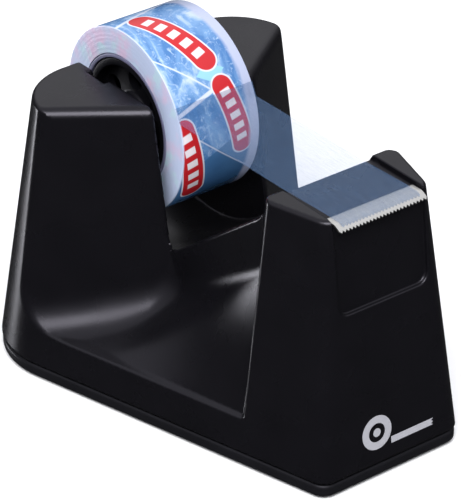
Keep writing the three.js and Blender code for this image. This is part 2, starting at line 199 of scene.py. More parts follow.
def plan_distance(x, y, z, depth):
    """The drafted wedge that the housing is cut from, without its top and bottom."""
    side = (np.abs(x) - side_x(y, z)) / math.hypot(1, SIDE_TAPER, SIDE_DRAFT) + depth
    front = (front_y(z) - y) / math.hypot(1, FRONT_DRAFT) + depth
    rear = (y - rear_y(z)) / math.hypot(1, REAR_DRAFT) + depth
    turn = SIDE_TAPER / math.hypot(1, SIDE_TAPER)
    share = (z - SEAM_Z) / (TOWER_TOP_Z - SEAM_Z)
    rear_radius = REAR_CORNER_BASE + (REAR_CORNER_TOP - REAR_CORNER_BASE) * share - depth
    wedge = round_max(side, rear, rear_radius, -turn)
    return np.maximum(wedge, round_max(side, front, max(FRONT_CORNER - depth, 0.5), turn))


def cheek_y(z):
    return AXLE_Y - CHEEK_FRONT - CHEEK_FRONT_SLOPE * (TOWER_TOP_Z - z)


def foot_z(y):
    """Height of the scoop's floor at the waist: parallel to the ramp, and level at the rear."""
    rising = ramp_z(y) - SCOOP_DROP
    apart = rising - SCOOP_REAR_Z
    return (rising + SCOOP_REAR_Z + np.sqrt(apart * apart + FOOT_EASE)) / 2


def scoop_distance(x, y, z, depth):
    """The hollow in each side: the cheek's face, the waist, the floor and the back of the front tower."""
    ax = np.abs(x)
    waist = WAIST_HALF - ax - depth
    inner = cheek_y(z)
    outer = AXLE_Y - CHEEK_SIDE
    slope = (outer - inner) / (side_x(outer, z) - WAIST_HALF)
    face = (y - inner - slope * (ax - WAIST_HALF)) / np.hypot(CHEEK_STRETCH, slope) - depth
    tower_in = FRONT_Y + TOWER_DEPTH
    tower_out = FRONT_Y + TOWER_EDGE
    back = (tower_in - tower_out) / (side_x(tower_out, z) - WAIST_HALF)
    tower_y = np.maximum(tower_in - back * (ax - WAIST_HALF), tower_out)
    tower = (tower_y - y) / np.hypot(1, back) - depth
    lip_x = side_x(y, LEDGE_Z) - LEDGE_LIP
    steep = (foot_z(y) - LEDGE_Z) / (lip_x - WAIST_HALF)
    slant = (LEDGE_Z + steep * (lip_x - ax) - z) / np.hypot(1, steep) - depth
    below = smooth(0, SCOOP_DROP, ramp_z(inner) - z)
    turn = slope / np.hypot(1, slope)
    corner = SCOOP_TOP_CORNER + (SCOOP_CORNER - SCOOP_TOP_CORNER) * below
    wall = round_max(waist, face, corner, turn)
    facing = turn + (1 - turn) * smooth(-WAIST_BLEND, WAIST_BLEND, waist - face)
    hollow = round_max(slant, wall, SCOOP_FILLET, facing * steep / np.hypot(1, steep))
    hollow = round_max(hollow, tower, SCOOP_TOWER_FILLET, SCOOP_TOWER_COSINE)
    return round_max(hollow, LEDGE_Z - depth - z, 0 if depth else LEDGE_FILLET)


def saddle_distance(y, z, depth):
    """The hollow between the towers, the same at every x: ramp, cheek fronts and the tower's back."""
    cheek = (y - cheek_y(z)) / math.hypot(1, CHEEK_FRONT_SLOPE) - depth
    ramp = (ramp_z(y, depth) - z) * math.cos(RAMP_ANGLE)
    face_y = FRONT_Y + TOWER_DEPTH
    rise = PLATFORM_Z - ramp_z(face_y)
    lean = TOWER_LEAN / rise
    tower = (face_y - lean * (z - ramp_z(face_y)) - y) / math.hypot(1, lean) - depth
    valley = round_max(ramp, cheek, SADDLE_CHEEK_FILLET, SADDLE_CHEEK_COSINE)
    return round_max(valley, tower, SADDLE_TOWER_FILLET, SADDLE_TOWER_COSINE)


def pocket_distance(x, y, z, depth):
    """A round trough about the axle, open above and behind, that runs out into the ramp."""
    qy = y - AXLE_Y
    qz = z - AXLE_Z
    cos_r = math.cos(RAMP_ANGLE)
    sin_r = math.sin(RAMP_ANGLE)
    t = np.maximum(-qy * cos_r + qz * sin_r, 0)
    to_ramp = np.hypot(qy + t * cos_r, qz - t * sin_r)
    to_back = np.hypot(qy, qz - np.maximum(qz, 0))
    within = (qy <= 0) & (qz * cos_r + qy * sin_r >= 0)
    trough = np.where(within, -POCKET_RADIUS, np.minimum(to_ramp, to_back) - POCKET_RADIUS) - depth
    trough = np.maximum(trough, FRONT_Y + TOWER_DEPTH - y - depth)
    return round_max(trough, np.abs(x) - POCKET_HALF - depth, POCKET_FILLET)


def slot_distance(x, y, z, depth):
    sy, sz = math.sin(SLOT_TILT), math.cos(SLOT_TILT)
    qy = y - AXLE_Y
    qz = z - AXLE_Z
    t = np.maximum(qy * sy + qz * sz, 0)
    bar = np.hypot(qy - t * sy, qz - t * sz) - AXLE_RADIUS - GAP - depth
    return np.maximum(bar, np.abs(x) - POCKET_HALF - SLOT_DEPTH - depth)


def panel_distance(x, y, z, depth):
    half = np.abs(x) - CHANNEL_HALF - depth
    low = PANEL_BOTTOM_Z - z - depth
    outline = round_max(half, low, PANEL_CORNER)
    face = (y - front_y(z) - PANEL_DEPTH) / math.hypot(1, FRONT_DRAFT) - depth
    return round_max(outline, face, PANEL_EDGE)


def housing_distance(x, y, z, depth=0.0):
    """The housing's outer form, or with a depth the form of the hollow inside its walls."""
    crisp = 0.0 if depth else 1.0
    top_z = np.where(y < FRONT_Y + TOWER_DEPTH + EAR_REACH, EAR_TOP_Z, TOWER_TOP_Z)
    form = round_max(plan_distance(x, y, z, depth), z - top_z + depth, TOP_EDGE * crisp)
    rear_edge = SCOOP_EDGE + SCOOP_EDGE_SOFTER * smooth(LEDGE_Z + SOFT_FROM, LEDGE_Z + SOFT_TO, z)
    edge = rear_edge + (SCOOP_EDGE - rear_edge) * smooth(0, SHARP_Y, y)
    form = round_max(form, -scoop_distance(x, y, z, depth), edge * crisp)
    form = round_max(form, -saddle_distance(y, z, depth), SADDLE_EDGE * crisp)
    form = round_max(form, -pocket_distance(x, y, z, depth), POCKET_EDGE * crisp)
    form = round_max(form, -slot_distance(x, y, z, depth), SLOT_EDGE * crisp)
    channel = np.maximum(np.abs(x) - CHANNEL_HALF - depth, PLATFORM_Z - z - depth)
    channel = np.maximum(channel, y - FRONT_Y - TOWER_DEPTH)
    form = round_max(form, -channel, CHANNEL_EDGE * crisp)
    return round_max(form, -panel_distance(x, y, z, depth), PANEL_EDGE * crisp)


def housing_outer(x, y, z):
    return round_max(housing_distance(x, y, z), SEAM_Z - z, SEAM_EDGE)


# ---------------------------------------------------------------- meshing of distance functions

def gradient(distance, p, step=0.02):
    """Direction of steepest rise of a distance function at points p."""
    g = np.empty_like(p)
    for axis in range(3):
        d = np.zeros(3)
        d[axis] = step
        g[:, axis] = distance(*(p + d).T) - distance(*(p - d).T)
    return g / (2 * step)


def surface_net(distance, low, high, step):
    """Vertices and quads of the surface where a distance function is zero."""
    axes = [np.arange(a, b + step, step) for a, b in zip(low, high)]
    value = np.empty([len(a) for a in axes], np.float32)
    gy, gz = np.meshgrid(axes[1], axes[2], indexing="ij")
    for i, x in enumerate(axes[0]):
        value[i] = distance(np.full_like(gy, x), gy, gz)
    inside = value < 0
    shape = np.array(value.shape)
    cells = shape - 1
    total = np.zeros((*cells, 3))
    count = np.zeros(cells, np.int32)
    corner = [slice(0, n) for n in cells]
    for axis in range(3):
        others = [a for a in range(3) if a != axis]
        lo = [slice(None)] * 3
        hi = [slice(None)] * 3
        lo[axis] = slice(0, shape[axis] - 1)
        hi[axis] = slice(1, shape[axis])
        va, vb = value[tuple(lo)], value[tuple(hi)]
        cross = (va < 0) != (vb < 0)
        share = np.where(cross, va / np.where(cross, va - vb, 1), 0)
        for du in (0, 1):
            for dv in (0, 1):
                part = [slice(None)] * 3
                part[others[0]] = slice(du, du + cells[others[0]])
                part[others[1]] = slice(dv, dv + cells[others[1]])
                c = cross[tuple(part)]
                count += c
                offset = np.zeros((*cells, 3))
                offset[..., axis] = share[tuple(part)]
                offset[..., others[0]] = du
                offset[..., others[1]] = dv
                total += offset * c[..., None]
    used = count > 0
    index = np.full(cells, -1, np.int64)
    index[used] = np.arange(used.sum())
    where = np.argwhere(used)
    verts = np.array(low) + (where + total[used] / count[used][:, None]) * step
    quads = []
    for axis in range(3):
        u, v = [(1, 2), (2, 0), (0, 1)][axis]
        lo = [slice(1, n) for n in cells]
        hi = [slice(1, n) for n in cells]
        lo[axis] = slice(0, cells[axis])
        hi[axis] = slice(1, cells[axis] + 1)
        a, b = inside[tuple(lo)], inside[tuple(hi)]
        at = np.argwhere(a != b)
        flip = b[a != b]
        at[:, u] += 1
        at[:, v] += 1
        eu = np.eye(3, dtype=int)[u]
        ev = np.eye(3, dtype=int)[v]
        ring = [at - eu - ev, at - ev, at, at - eu]
        quad = np.stack([index[tuple(r.T)] for r in ring], 1)
        quad[flip] = quad[flip][:, ::-1]
        quads.append(quad)
    return verts, np.concatenate(quads)


def settle(distance, p, rounds=4):
    """Moves points onto the surface where the distance function is zero."""
    for _ in range(rounds):
        g = gradient(distance, p)
        length2 = np.maximum((g * g).sum(1), 0.05)
        p = p - np.clip(distance(*p.T) / length2, -0.5, 0.5)[:, None] * g
    return p


# ---------------------------------------------------------------- pieces and their places

def mesh_piece(name, verts, faces, material, smooth_shade=True):
    """A mesh object from points in millimetres."""
    mesh = bpy.data.meshes.new(name)
    mesh.from_pydata((np.asarray(verts, float) * MM).tolist(), [], [tuple(map(int, f)) for f in faces])
    mesh.update()
    mesh.polygons.foreach_set("use_smooth", [smooth_shade] * len(mesh.polygons))
    piece = bpy.data.objects.new(name, mesh)
    bpy.context.scene.collection.objects.link(piece)
    if material:
        mesh.materials.append(material)
    return piece


def bake_modifiers(piece):
    """Applies the modifiers on a piece to its mesh."""
    bpy.context.view_layer.update()
    graph = bpy.context.evaluated_depsgraph_get()
    mesh = bpy.data.meshes.new_from_object(piece.evaluated_get(graph))
    old = piece.data
    piece.modifiers.clear()
    piece.data = mesh
    bpy.data.meshes.remove(old)


def points_of(mesh):
    co = np.empty(len(mesh.vertices) * 3)
    mesh.vertices.foreach_get("co", co)
    return co.reshape(-1, 3) / MM


def surface_normals(piece, distance, within=0.03):
    """Shades a piece with the exact directions of the surface that it was meshed from.

    Faces off that surface keep their own directions.
    """
    mesh = piece.data
    points = points_of(mesh)
    exact = gradient(distance, points)
    exact /= np.linalg.norm(exact, axis=1)[:, None] + 1e-12
    near = np.abs(distance(*points.T)) < within
    corner = np.empty(len(mesh.loops), np.int32)
    mesh.loops.foreach_get("vertex_index", corner)
    starts = np.empty(len(mesh.polygons), np.int32)
    sizes = np.empty(len(mesh.polygons), np.int32)
    flat = np.empty(len(mesh.polygons) * 3)
    mesh.polygons.foreach_get("loop_start", starts)
    mesh.polygons.foreach_get("loop_total", sizes)
    mesh.polygons.foreach_get("normal", flat)
    owner = np.repeat(np.arange(len(starts)), sizes)
    flat = flat.reshape(-1, 3)[owner]
    whole = np.logical_and.reduceat(near[corner], starts)[owner]
    agree = (exact[corner] * flat).sum(1) > 0.5
    shade = np.where((whole & agree)[:, None], exact[corner], flat)
    mesh.normals_split_custom_set(shade.tolist())


def mesh_distance(name, distance, low, high, step, share, material):
    """A mesh of the surface where a distance function is zero, thinned to a share of its faces."""
    verts, quads = surface_net(distance, low, high, step)
    piece = mesh_piece(name, settle(distance, verts), quads, material)
    piece.modifiers.new("thin", "DECIMATE").ratio = share
    bake_modifiers(piece)
    co = settle(distance, points_of(piece.data), 3) * MM
    piece.data.vertices.foreach_set("co", co.ravel())
    piece.data.update()
    return piece


def build_housing(material):
    """The moulded shell: the outer form less the form of the hollow inside its walls, open below."""
    low = (-40.0, FRONT_Y - 2, SEAM_Z - 1.5)
    high = (40.0, REAR_Y + 2, TOWER_TOP_Z + 1.5)
    shell = mesh_distance("housing", housing_outer, low, high, NET_STEP, HOUSING_KEEP, material)

    def hollow_form(x, y, z):
        return np.maximum(housing_distance(x, y, z, WALL), SEAM_Z - 3 - z)

    low = (-40.0, FRONT_Y, SEAM_Z - 5)
    hollow = mesh_distance("hollow", hollow_form, low, high, HOLLOW_STEP, PIECE_KEEP, material)
    cut_out(shell, hollow, "MANIFOLD")
    surface_normals(shell, housing_outer)
    return own(shell, "housing", "housing", "housing_shell")


def rounded(points, radius, steps=4):
    """A closed outline with its corners rounded. radius is one number, or one for each corner."""
    pts = [np.array(p, float) for p in points]
    radii = [radius] * len(pts) if np.isscalar(radius) else list(radius)
    out = []
    for i, p in enumerate(pts):
        before, after = pts[i - 1] - p, pts[(i + 1) % len(pts)] - p
        room = 0.45 * min(np.linalg.norm(before), np.linalg.norm(after))
        r = min(radii[i], room)
        if r <= 0:
            out.append(p)
            continue
        a = p + before / np.linalg.norm(before) * r
        b = p + after / np.linalg.norm(after) * r
        for k in range(steps + 1):
            t = k / steps
            out.append((1 - t) ** 2 * a + 2 * t * (1 - t) * p + t * t * b)
    return np.array(out)


def turns(count):
    """Angles of a full turn in equal steps."""
    return np.linspace(0, 2 * math.pi, count, endpoint=False)


def turned(name, profile, material, segments, angle=30):
    """A ring-shaped body turned about the axle's line from a closed profile of (x, radius)."""
    profile = np.asarray(profile)
    turn = turns(segments)
    n = len(profile)
    verts = np.empty((segments, n, 3))
    verts[..., 0] = profile[None, :, 0]
    verts[..., 1] = AXLE_Y + np.cos(turn)[:, None] * profile[None, :, 1]
    verts[..., 2] = AXLE_Z + np.sin(turn)[:, None] * profile[None, :, 1]
    faces = []
    for i in range(segments):
        j = (i + 1) % segments
        for k in range(n):
            m = (k + 1) % n
            faces.append((i * n + k, i * n + m, j * n + m, j * n + k))
    x, radius = profile.T
    area = np.sum(x * np.roll(radius, -1) - np.roll(x, -1) * radius)
    if area > 0:
        faces = [f[::-1] for f in faces]
    piece = mesh_piece(name, verts.reshape(-1, 3), faces, material)
    piece.data.set_sharp_from_angle(angle=math.radians(angle))
    return piece


def face_outwards(piece):
    work = bmesh.new()
    work.from_mesh(piece.data)
    bmesh.ops.recalc_face_normals(work, faces=work.faces)
    work.to_mesh(piece.data)
    work.free()


def swept(name, sections, material, angle=30):
    """A closed body through a row of closed sections of as many points each, capped at both ends."""
    sections = np.asarray(sections, float)
    rows, n = sections.shape[:2]
    faces = [tuple(range(n))[::-1], tuple((rows - 1) * n + k for k in range(n))]
    for i in range(rows - 1):
        for k in range(n):
            m = (k + 1) % n
            faces.append((i * n + k, i * n + m, (i + 1) * n + m, (i + 1) * n + k))
    piece = mesh_piece(name, sections.reshape(-1, 3), faces, material)
    face_outwards(piece)
    piece.data.set_sharp_from_angle(angle=math.radians(angle))
    return piece


def cut_out(piece, cutter, solver="EXACT"):
    """Takes one piece out of another and throws it away."""
    cut = piece.modifiers.new("cut", "BOOLEAN")
    cut.operation = "DIFFERENCE"
    cut.solver = solver
    cut.object = cutter
    bake_modifiers(piece)
    bpy.data.objects.remove(cutter)


def own(piece, body, slot, *nodes):
    """Gives a piece its body and lets it stand for the CAD nodes named, which are hidden. slot is not used.
    """
    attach(piece, body)
    if nodes:
        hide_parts(*nodes)
    return piece


# ---------------------------------------------------------------- materials

# Values of a noise between which a material's gloss goes from its lowest to its highest
NOISE_LOW = 0.3
NOISE_HIGH = 0.7


class Recipe:
    """The node tree of one material, put together call by call. Lengths are in millimetres."""

    def __init__(self, name):
        self.material = bpy.data.materials.new(name)
        self.material.use_nodes = True
        self.tree = self.material.node_tree
        self.tree.nodes.clear()
        self.surface = self.node("BsdfPrincipled")
        out = self.node("OutputMaterial")
        self.tree.links.new(self.surface.outputs[0], out.inputs[0])
        self.place = self.node("TexCoord").outputs["Object"]

    def node(self, kind, inputs=None, **settings):
        made = self.tree.nodes.new("ShaderNode" + kind)
        for key, value in settings.items():
            setattr(made, key, value)
        for key, value in (inputs or {}).items():
            self.feed(made.inputs[key], value)
        return made

    def feed(self, socket, value):
        if isinstance(value, bpy.types.NodeSocket):
            self.tree.links.new(value, socket)
        else:
            socket.default_value = value

    def set(self, **sockets):
        for key, value in sockets.items():
            self.feed(self.surface.inputs[key.replace("_", " ")], value)

    def math(self, operation, *values, clamp=False):
        made = self.node("Math", operation=operation, use_clamp=clamp)
        for socket, value in zip(made.inputs, values):
            self.feed(socket, value)
        return made.outputs[0]

    def noise(self, size, detail=2.0, roughness=0.5, distortion=0.0, place=None):
        inputs = {"Scale": 1 / (size * MM), "Detail": detail, "Roughness": roughness,
                  "Distortion": distortion, "Vector": place or self.place}
        return self.node("TexNoise", inputs).outputs["Fac"]

    def stretch(self, sx, sy, sz, place=None):
        inputs = {0: place or self.place, 1: (sx, sy, sz)}
        return self.node("VectorMath", inputs, operation="MULTIPLY").outputs[0]

    def spread(self, value, low, high, to_low=0.0, to_high=1.0):
        inputs = {0: value, 1: low, 2: high, 3: to_low, 4: to_high}
        return self.node("MapRange", inputs).outputs[0]

    def gloss(self, noise, low, high):
        """Sets a roughness that follows a noise."""
        self.set(Roughness=self.spread(noise, NOISE_LOW, NOISE_HIGH, low, high))

    def mix(self, share, a, b):
        return self.node("Mix", {0: share, 6: a, 7: b}, data_type="RGBA").outputs[2]

    def bump(self, height, depth, before=None):
        inputs = {"Height": height, "Distance": depth * MM, "Strength": 1.0}
        if before:
            inputs["Normal"] = before
        return self.node("Bump", inputs).outputs[0]


def tint(r, g, b):
    return (r, g, b, 1.0)


VIOLET_SHEEN = tint(0.90, 0.87, 1.0)


def moulded_plastic(name, dark, light, roughness, grain=0.012, specular=0.2):
    """Injection-moulded plastic: a faint mottle, uneven gloss and a fine etched grain."""
    r = Recipe(name)
    r.set(Base_Color=r.mix(r.noise(9.0, 3.0), dark, light), Specular_IOR_Level=specular)
    r.set(Specular_Tint=VIOLET_SHEEN)
    r.gloss(r.noise(14.0, 4.0), roughness - 0.04, roughness + 0.05)
    r.set(Normal=r.bump(r.noise(0.35, 2.0), grain, r.bump(r.noise(7.0, 1.0), 0.03)))
    return r.material


def foam_rubber(name):
    """Closed-cell foam: fine cells, lower in their middles, with painted shade darkening those pits."""
    r = Recipe(name)
    cells = r.node("TexVoronoi", {"Vector": r.place, "Scale": 1 / (0.45 * MM)}).outputs["Distance"]
    # The cell distance darkens each cell's middle where the bump sinks it: painted shade in the pits
    r.set(Base_Color=r.mix(cells, tint(0.012, 0.012, 0.013), tint(0.045, 0.045, 0.047)))
    r.gloss(r.noise(3.0), 0.82, 0.93)
    r.set(Normal=r.bump(cells, 0.08), Specular_IOR_Level=0.15)
    return r.material


def ground_steel(name):
    """Spring steel: rolled streaks along the strip, over an uneven tone."""
    r = Recipe(name)
    streaks = r.noise(1.0, 4.0, 0.65, place=r.stretch(0.6, 14.0, 14.0))
    blots = r.noise(3.0, 3.0)
    base = r.mix(blots, tint(0.50, 0.49, 0.47), tint(0.62, 0.61, 0.59))
    r.set(Base_Color=r.mix(streaks, base, tint(0.70, 0.69, 0.67)), Metallic=1.0)
    r.gloss(streaks, 0.26, 0.42)
    r.set(Normal=r.bump(streaks, 0.012))
    return r.material


def cast_metal(name, dark, light, size, roughness):
    """Sand-cast or plated metal with an uneven skin."""
    r = Recipe(name)
    skin = r.noise(size, 5.0, 0.6)
    r.set(Base_Color=r.mix(skin, dark, light), Metallic=1.0)
    r.gloss(skin, roughness - 0.08, roughness + 0.1)
    r.set(Normal=r.bump(skin, 0.06))
    return r.material


def core_plastic(name):
    """The thin tinted core inside the roll."""
    r = Recipe(name)
    r.set(Base_Color=r.mix(r.noise(4.0, 3.0), tint(0.10, 0.10, 0.17), tint(0.17, 0.17, 0.27)))
    r.gloss(r.noise(1.5, 3.0), 0.3, 0.45)
    r.set(Normal=r.bump(r.noise(0.8), 0.02), Specular_IOR_Level=0.4)
    return r.material


def clear_film(name, cover, colour):
    """Clear adhesive film: a thin blue veil with faint streaks along its length."""
    r = Recipe(name)
    streaks = r.noise(1.0, 3.0, place=r.stretch(4.0, 0.25, 0.25))
    r.set(Base_Color=r.mix(streaks, colour, tint(0.10, 0.20, 0.38)))
    r.set(Alpha=r.spread(streaks, NOISE_LOW, NOISE_HIGH, cover - 0.03, cover + 0.03))
    r.set(Specular_IOR_Level=0.3)
    r.gloss(streaks, 0.07, 0.13)
    r.set(Normal=r.bump(streaks, 0.02, r.bump(r.noise(5.0, 1.0), 0.05)))
    return r.material


# ---------------------------------------------------------------- printed roll

# Capsules of the print: start angle and x, end angle and x (degrees, millimetres), half width
BANNERS = [
    (96.0, -3.6, 52.0, 1.4, 2.55),
    (33.0, 2.6, -4.0, 5.4, 2.3),
    (15.0, -8.6, -30.0, -5.4, 2.4),
    (222.0, -2.0, 180.0, 3.0, 2.5),
    (160.0, -6.0, 128.0, -2.4, 2.3),
    (160.0, 5.4, 128.0, 7.4, 2.1),
    (285.0, -3.0, 245.0, 1.6, 2.5),
]

# White dashes along each capsule: how many, the half length of one, and their reach and half width as shares
BANNER_DASHES = 4
DASH_HALF = 0.27
DASH_REACH = 0.45
DASH_WIDTH = 0.52
BANNER_RIM = 0.35

# White lines of the print: start angle and x, end angle and x, half width
LINES = [
    (36.5, 4.6, 24.0, -9.6, 0.42),
    (62.0, -9.6, 34.0, -0.3, 0.16),
    (9.5, -6.4, -26.5, 8.2, 0.10),
    (118.0, 8.0, 98.0, -9.6, 0.40),
    (200.0, 8.0, 172.0, -9.6, 0.42),
    (262.0, 8.0, 238.0, -9.6, 0.42),
]

# Radius to noise coordinate on the wound sides, and the slant of the deep patch's ends
LAYER_SCALE = 0.004
DEEP_SLANT = 0.45

# Plain patches of the print: angle and x of the middle, half length, and the pale one's half width
DEEP_PATCH = (-28.0, 1.0, 9.0)
PALE_PATCH = (43.0, 1.2, 2.2, 3.4)


def arc_length(angle):
    return math.radians(angle) * ROLL_RADIUS


class RollRecipe(Recipe):
    """A recipe with the roll's own coordinates: angle around the roll, and x and radius in millimetres."""

    def __init__(self, name):
        super().__init__(name)
        axes = self.node("SeparateXYZ", {0: self.place}).outputs
        self.x = self.math("DIVIDE", axes[0], MM)
        forward = self.math("SUBTRACT", AXLE_Y, self.math("DIVIDE", axes[1], MM))
        up = self.math("SUBTRACT", self.math("DIVIDE", axes[2], MM), AXLE_Z)
        self.angle = self.math("ARCTAN2", up, forward)
        square = self.math("ADD", self.math("POWER", up, 2.0), self.math("POWER", forward, 2.0))
        self.radius = self.math("SQRT", square)

    def along(self, middle):
        """Length around the roll from a middle angle, which wraps on its far side."""
        turn = self.math("SUBTRACT", self.angle, math.radians(middle))
        return self.math("MULTIPLY", self.math("WRAP", turn, math.pi, -math.pi), ROLL_RADIUS)

    def to_segment(self, start, x0, end, x1):
        """Distance to the line between two places on the roll, and the share of the way along it."""
        middle = (start + end) / 2
        half = arc_length(end - middle)
        ux, uy = 2 * half, x1 - x0
        length2 = ux * ux + uy * uy
        px = self.math("ADD", self.along(middle), half)
        py = self.math("SUBTRACT", self.x, x0)
        forward = self.math("MULTIPLY", px, ux / length2)
        across = self.math("MULTIPLY", py, uy / length2)
        share = self.math("ADD", self.math("ADD", forward, across), 0.0, clamp=True)
        dx = self.math("SUBTRACT", px, self.math("MULTIPLY", share, ux))
        dy = self.math("SUBTRACT", py, self.math("MULTIPLY", share, uy))
        square = self.math("ADD", self.math("POWER", dx, 2.0), self.math("POWER", dy, 2.0))
        return self.math("SQRT", square), share

    def within(self, distance, limit, blur=0.06):
        return self.spread(distance, limit - blur, limit + blur, 1.0, 0.0)


def printed_film(name):
    """The roll: ice-blue marbling, white rules, plain patches and red capsules, and pale wound sides."""
    r = RollRecipe(name)
    mottle = r.noise(9.0, 4.0, 0.6, 1.2, place=r.stretch(1.6, 0.8, 0.8))
    veins = r.noise(2.2, 5.0, 0.7, 2.0)
    blue = r.mix(r.spread(mottle, 0.38, 0.62), tint(0.06, 0.17, 0.40), tint(0.17, 0.32, 0.56))
    colour = r.mix(r.spread(veins, 0.54, 0.72), blue, tint(0.42, 0.54, 0.72))
    colour = r.mix(r.spread(mottle, 0.56, 0.72), colour, tint(0.44, 0.53, 0.70))
    middle, x, half_length = DEEP_PATCH
    band = r.math("SUBTRACT", r.math("ABSOLUTE", r.along(middle)), half_length)
    slant = r.math("SUBTRACT", band, r.math("MULTIPLY", r.math("SUBTRACT", r.x, x), DEEP_SLANT))
    deep = r.mix(r.noise(5.0, 2.0), tint(0.035, 0.11, 0.26), tint(0.06, 0.17, 0.36))
    colour = r.mix(r.within(slant, 0.0, 0.1), colour, deep)
    middle, x, half_length, half_width = PALE_PATCH
    point = r.math("MULTIPLY", r.math("ABSOLUTE", r.math("SUBTRACT", r.x, x)), half_length / half_width)
    wedge = r.math("ADD", r.math("ABSOLUTE", r.along(middle)), point)
    colour = r.mix(r.within(wedge, half_length), colour, tint(0.25, 0.50, 0.60))
    for start, x0, end, x1, half in LINES:
        distance, _ = r.to_segment(start, x0, end, x1)
        colour = r.mix(r.within(distance, half, 0.12), colour, tint(0.55, 0.60, 0.74))
    for start, x0, end, x1, half in BANNERS:
        distance, share = r.to_segment(start, x0, end, x1)
        colour = r.mix(r.within(distance, half + BANNER_RIM), colour, tint(0.60, 0.62, 0.72))
        colour = r.mix(r.within(distance, half), colour, tint(0.46, 0.016, 0.022))
        beat = r.math("FRACT", r.math("MULTIPLY", share, BANNER_DASHES + 1.0))
        dash = r.within(r.math("ABSOLUTE", r.math("SUBTRACT", beat, 0.5)), DASH_HALF, 0.03)
        ends = r.within(r.math("ABSOLUTE", r.math("SUBTRACT", share, 0.5)), DASH_REACH, 0.01)
        row = r.math("MULTIPLY", r.within(distance, half * DASH_WIDTH), r.math("MULTIPLY", dash, ends))
        colour = r.mix(row, colour, tint(0.72, 0.66, 0.70))
    milk = r.math("ADD", r.x, r.math("MULTIPLY", mottle, 1.6))
    colour = r.mix(r.spread(milk, 7.4, 8.4), colour, tint(0.40, 0.44, 0.60))
    colour = r.mix(r.spread(r.x, -9.0, -9.35), colour, tint(0.50, 0.56, 0.72))
    layer = r.node("CombineXYZ", {0: r.math("MULTIPLY", r.radius, LAYER_SCALE)}).outputs[0]
    streaks = r.noise(0.5, 3.0, 0.6, place=layer)
    blots = r.spread(r.noise(6.0, 3.0), 0.50, 0.68)
    faces = r.mix(streaks, tint(0.38, 0.45, 0.63), tint(0.48, 0.54, 0.70))
    faces = r.mix(blots, faces, tint(0.56, 0.44, 0.60))
    pools = r.spread(r.noise(5.0, 2.0, place=r.stretch(1.3, 1.3, 1.3)), 0.55, 0.7)
    faces = r.mix(pools, faces, tint(0.42, 0.56, 0.66))
    edge = r.spread(r.math("ABSOLUTE", r.x), TAPE_WIDTH / 2 - 0.12, TAPE_WIDTH / 2 - 0.06)
    r.set(Base_Color=r.mix(edge, colour, faces), Specular_IOR_Level=0.3)
    r.gloss(mottle, 0.16, 0.28)
    r.set(Normal=r.bump(streaks, 0.03, r.bump(r.noise(7.0, 2.0), 0.12)))
    r.set(Coat_Weight=0.2, Coat_Roughness=0.1)
    return r.material


# ---------------------------------------------------------------- housing, base and what they hold

SCREW_HEAD_RADIUS = 2.6
SCREW_RADIUS = 1.3
SCREW_RECESS = 0.7
SCREW_HEAD_HEIGHT = 1.5
SCREW_LENGTH = 10.0
BASE_TOP_Z = SEAM_Z - GAP
LIP_TOP_Z = SEAM_Z + 2.0
LIP_WALL = 1.5
PAD_THICKNESS = 1.1
PAD_MARGIN = 4.0
BASE_INSET = 0.2
BASE_EDGE = 0.8
RECESS_EDGE = 0.2
PAD_EDGE = 0.25
SLOT_HALVES = (1.5, 0.3)


def screw_spots():
    boxes = [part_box(f"base_screw_{i}") for i in range(1, 5)]
    return [((low[0] + high[0]) / 2 / MM, (low[1] + high[1]) / 2 / MM) for low, high in boxes]


def base_outline(x, y, depth):
    return plan_distance(x, y, np.full_like(x, SEAM_Z), depth)


def build_base(material, spots):
    """The plate, with a lip inside the housing's wall and recesses for the pad and the screws."""
    def form(x, y, z):
        level = np.abs(z - (PAD_STAND + BASE_TOP_Z) / 2) - (BASE_TOP_Z - PAD_STAND) / 2
        body = round_max(base_outline(x, y, BASE_INSET), level, BASE_EDGE)
        lip = np.maximum(np.maximum(base_outline(x, y, WALL + GAP), z - LIP_TOP_Z), SEAM_Z - 1 - z)
        lip = np.maximum(lip, -base_outline(x, y, WALL + GAP + LIP_WALL))
        body = np.minimum(body, lip)
        recess = np.maximum(base_outline(x, y, PAD_MARGIN - GAP), z - PAD_THICKNESS - GAP)
        body = round_max(body, -recess, RECESS_EDGE)
        for sx, sy in spots:
            away = np.hypot(x - sx, y - sy)
            head = np.maximum(away - SCREW_HEAD_RADIUS - GAP, z - SCREW_RECESS - SCREW_HEAD_HEIGHT)
            body = np.maximum(body, -np.minimum(head, away - SCREW_RADIUS - GAP))
        return body

    low, high = (-39.0, FRONT_Y - 1, -0.5), (39.0, REAR_Y + 1, LIP_TOP_Z + 1)
    piece = mesh_distance("base", form, low, high, NET_STEP, PIECE_KEEP, material)
    surface_normals(piece, form)
    return own(piece, "housing", "base", "base_plate")


def build_pad(material, spots):
    def form(x, y, z):
        flat = np.abs(z - PAD_THICKNESS / 2) - PAD_THICKNESS / 2
        body = round_max(base_outline(x, y, PAD_MARGIN), flat, PAD_EDGE)
        for sx, sy in spots:
            body = np.maximum(body, SCREW_HEAD_RADIUS + 3 * GAP - np.hypot(x - sx, y - sy))
        return body

    low, high = (-36.0, FRONT_Y + 1, -0.6), (36.0, REAR_Y - 1, PAD_THICKNESS + 0.6)
    piece = mesh_distance("pad", form, low, high, PAD_STEP, PIECE_KEEP, material)
    surface_normals(piece, form)
    return own(piece, "housing", "pad", "anti_slip_pad")


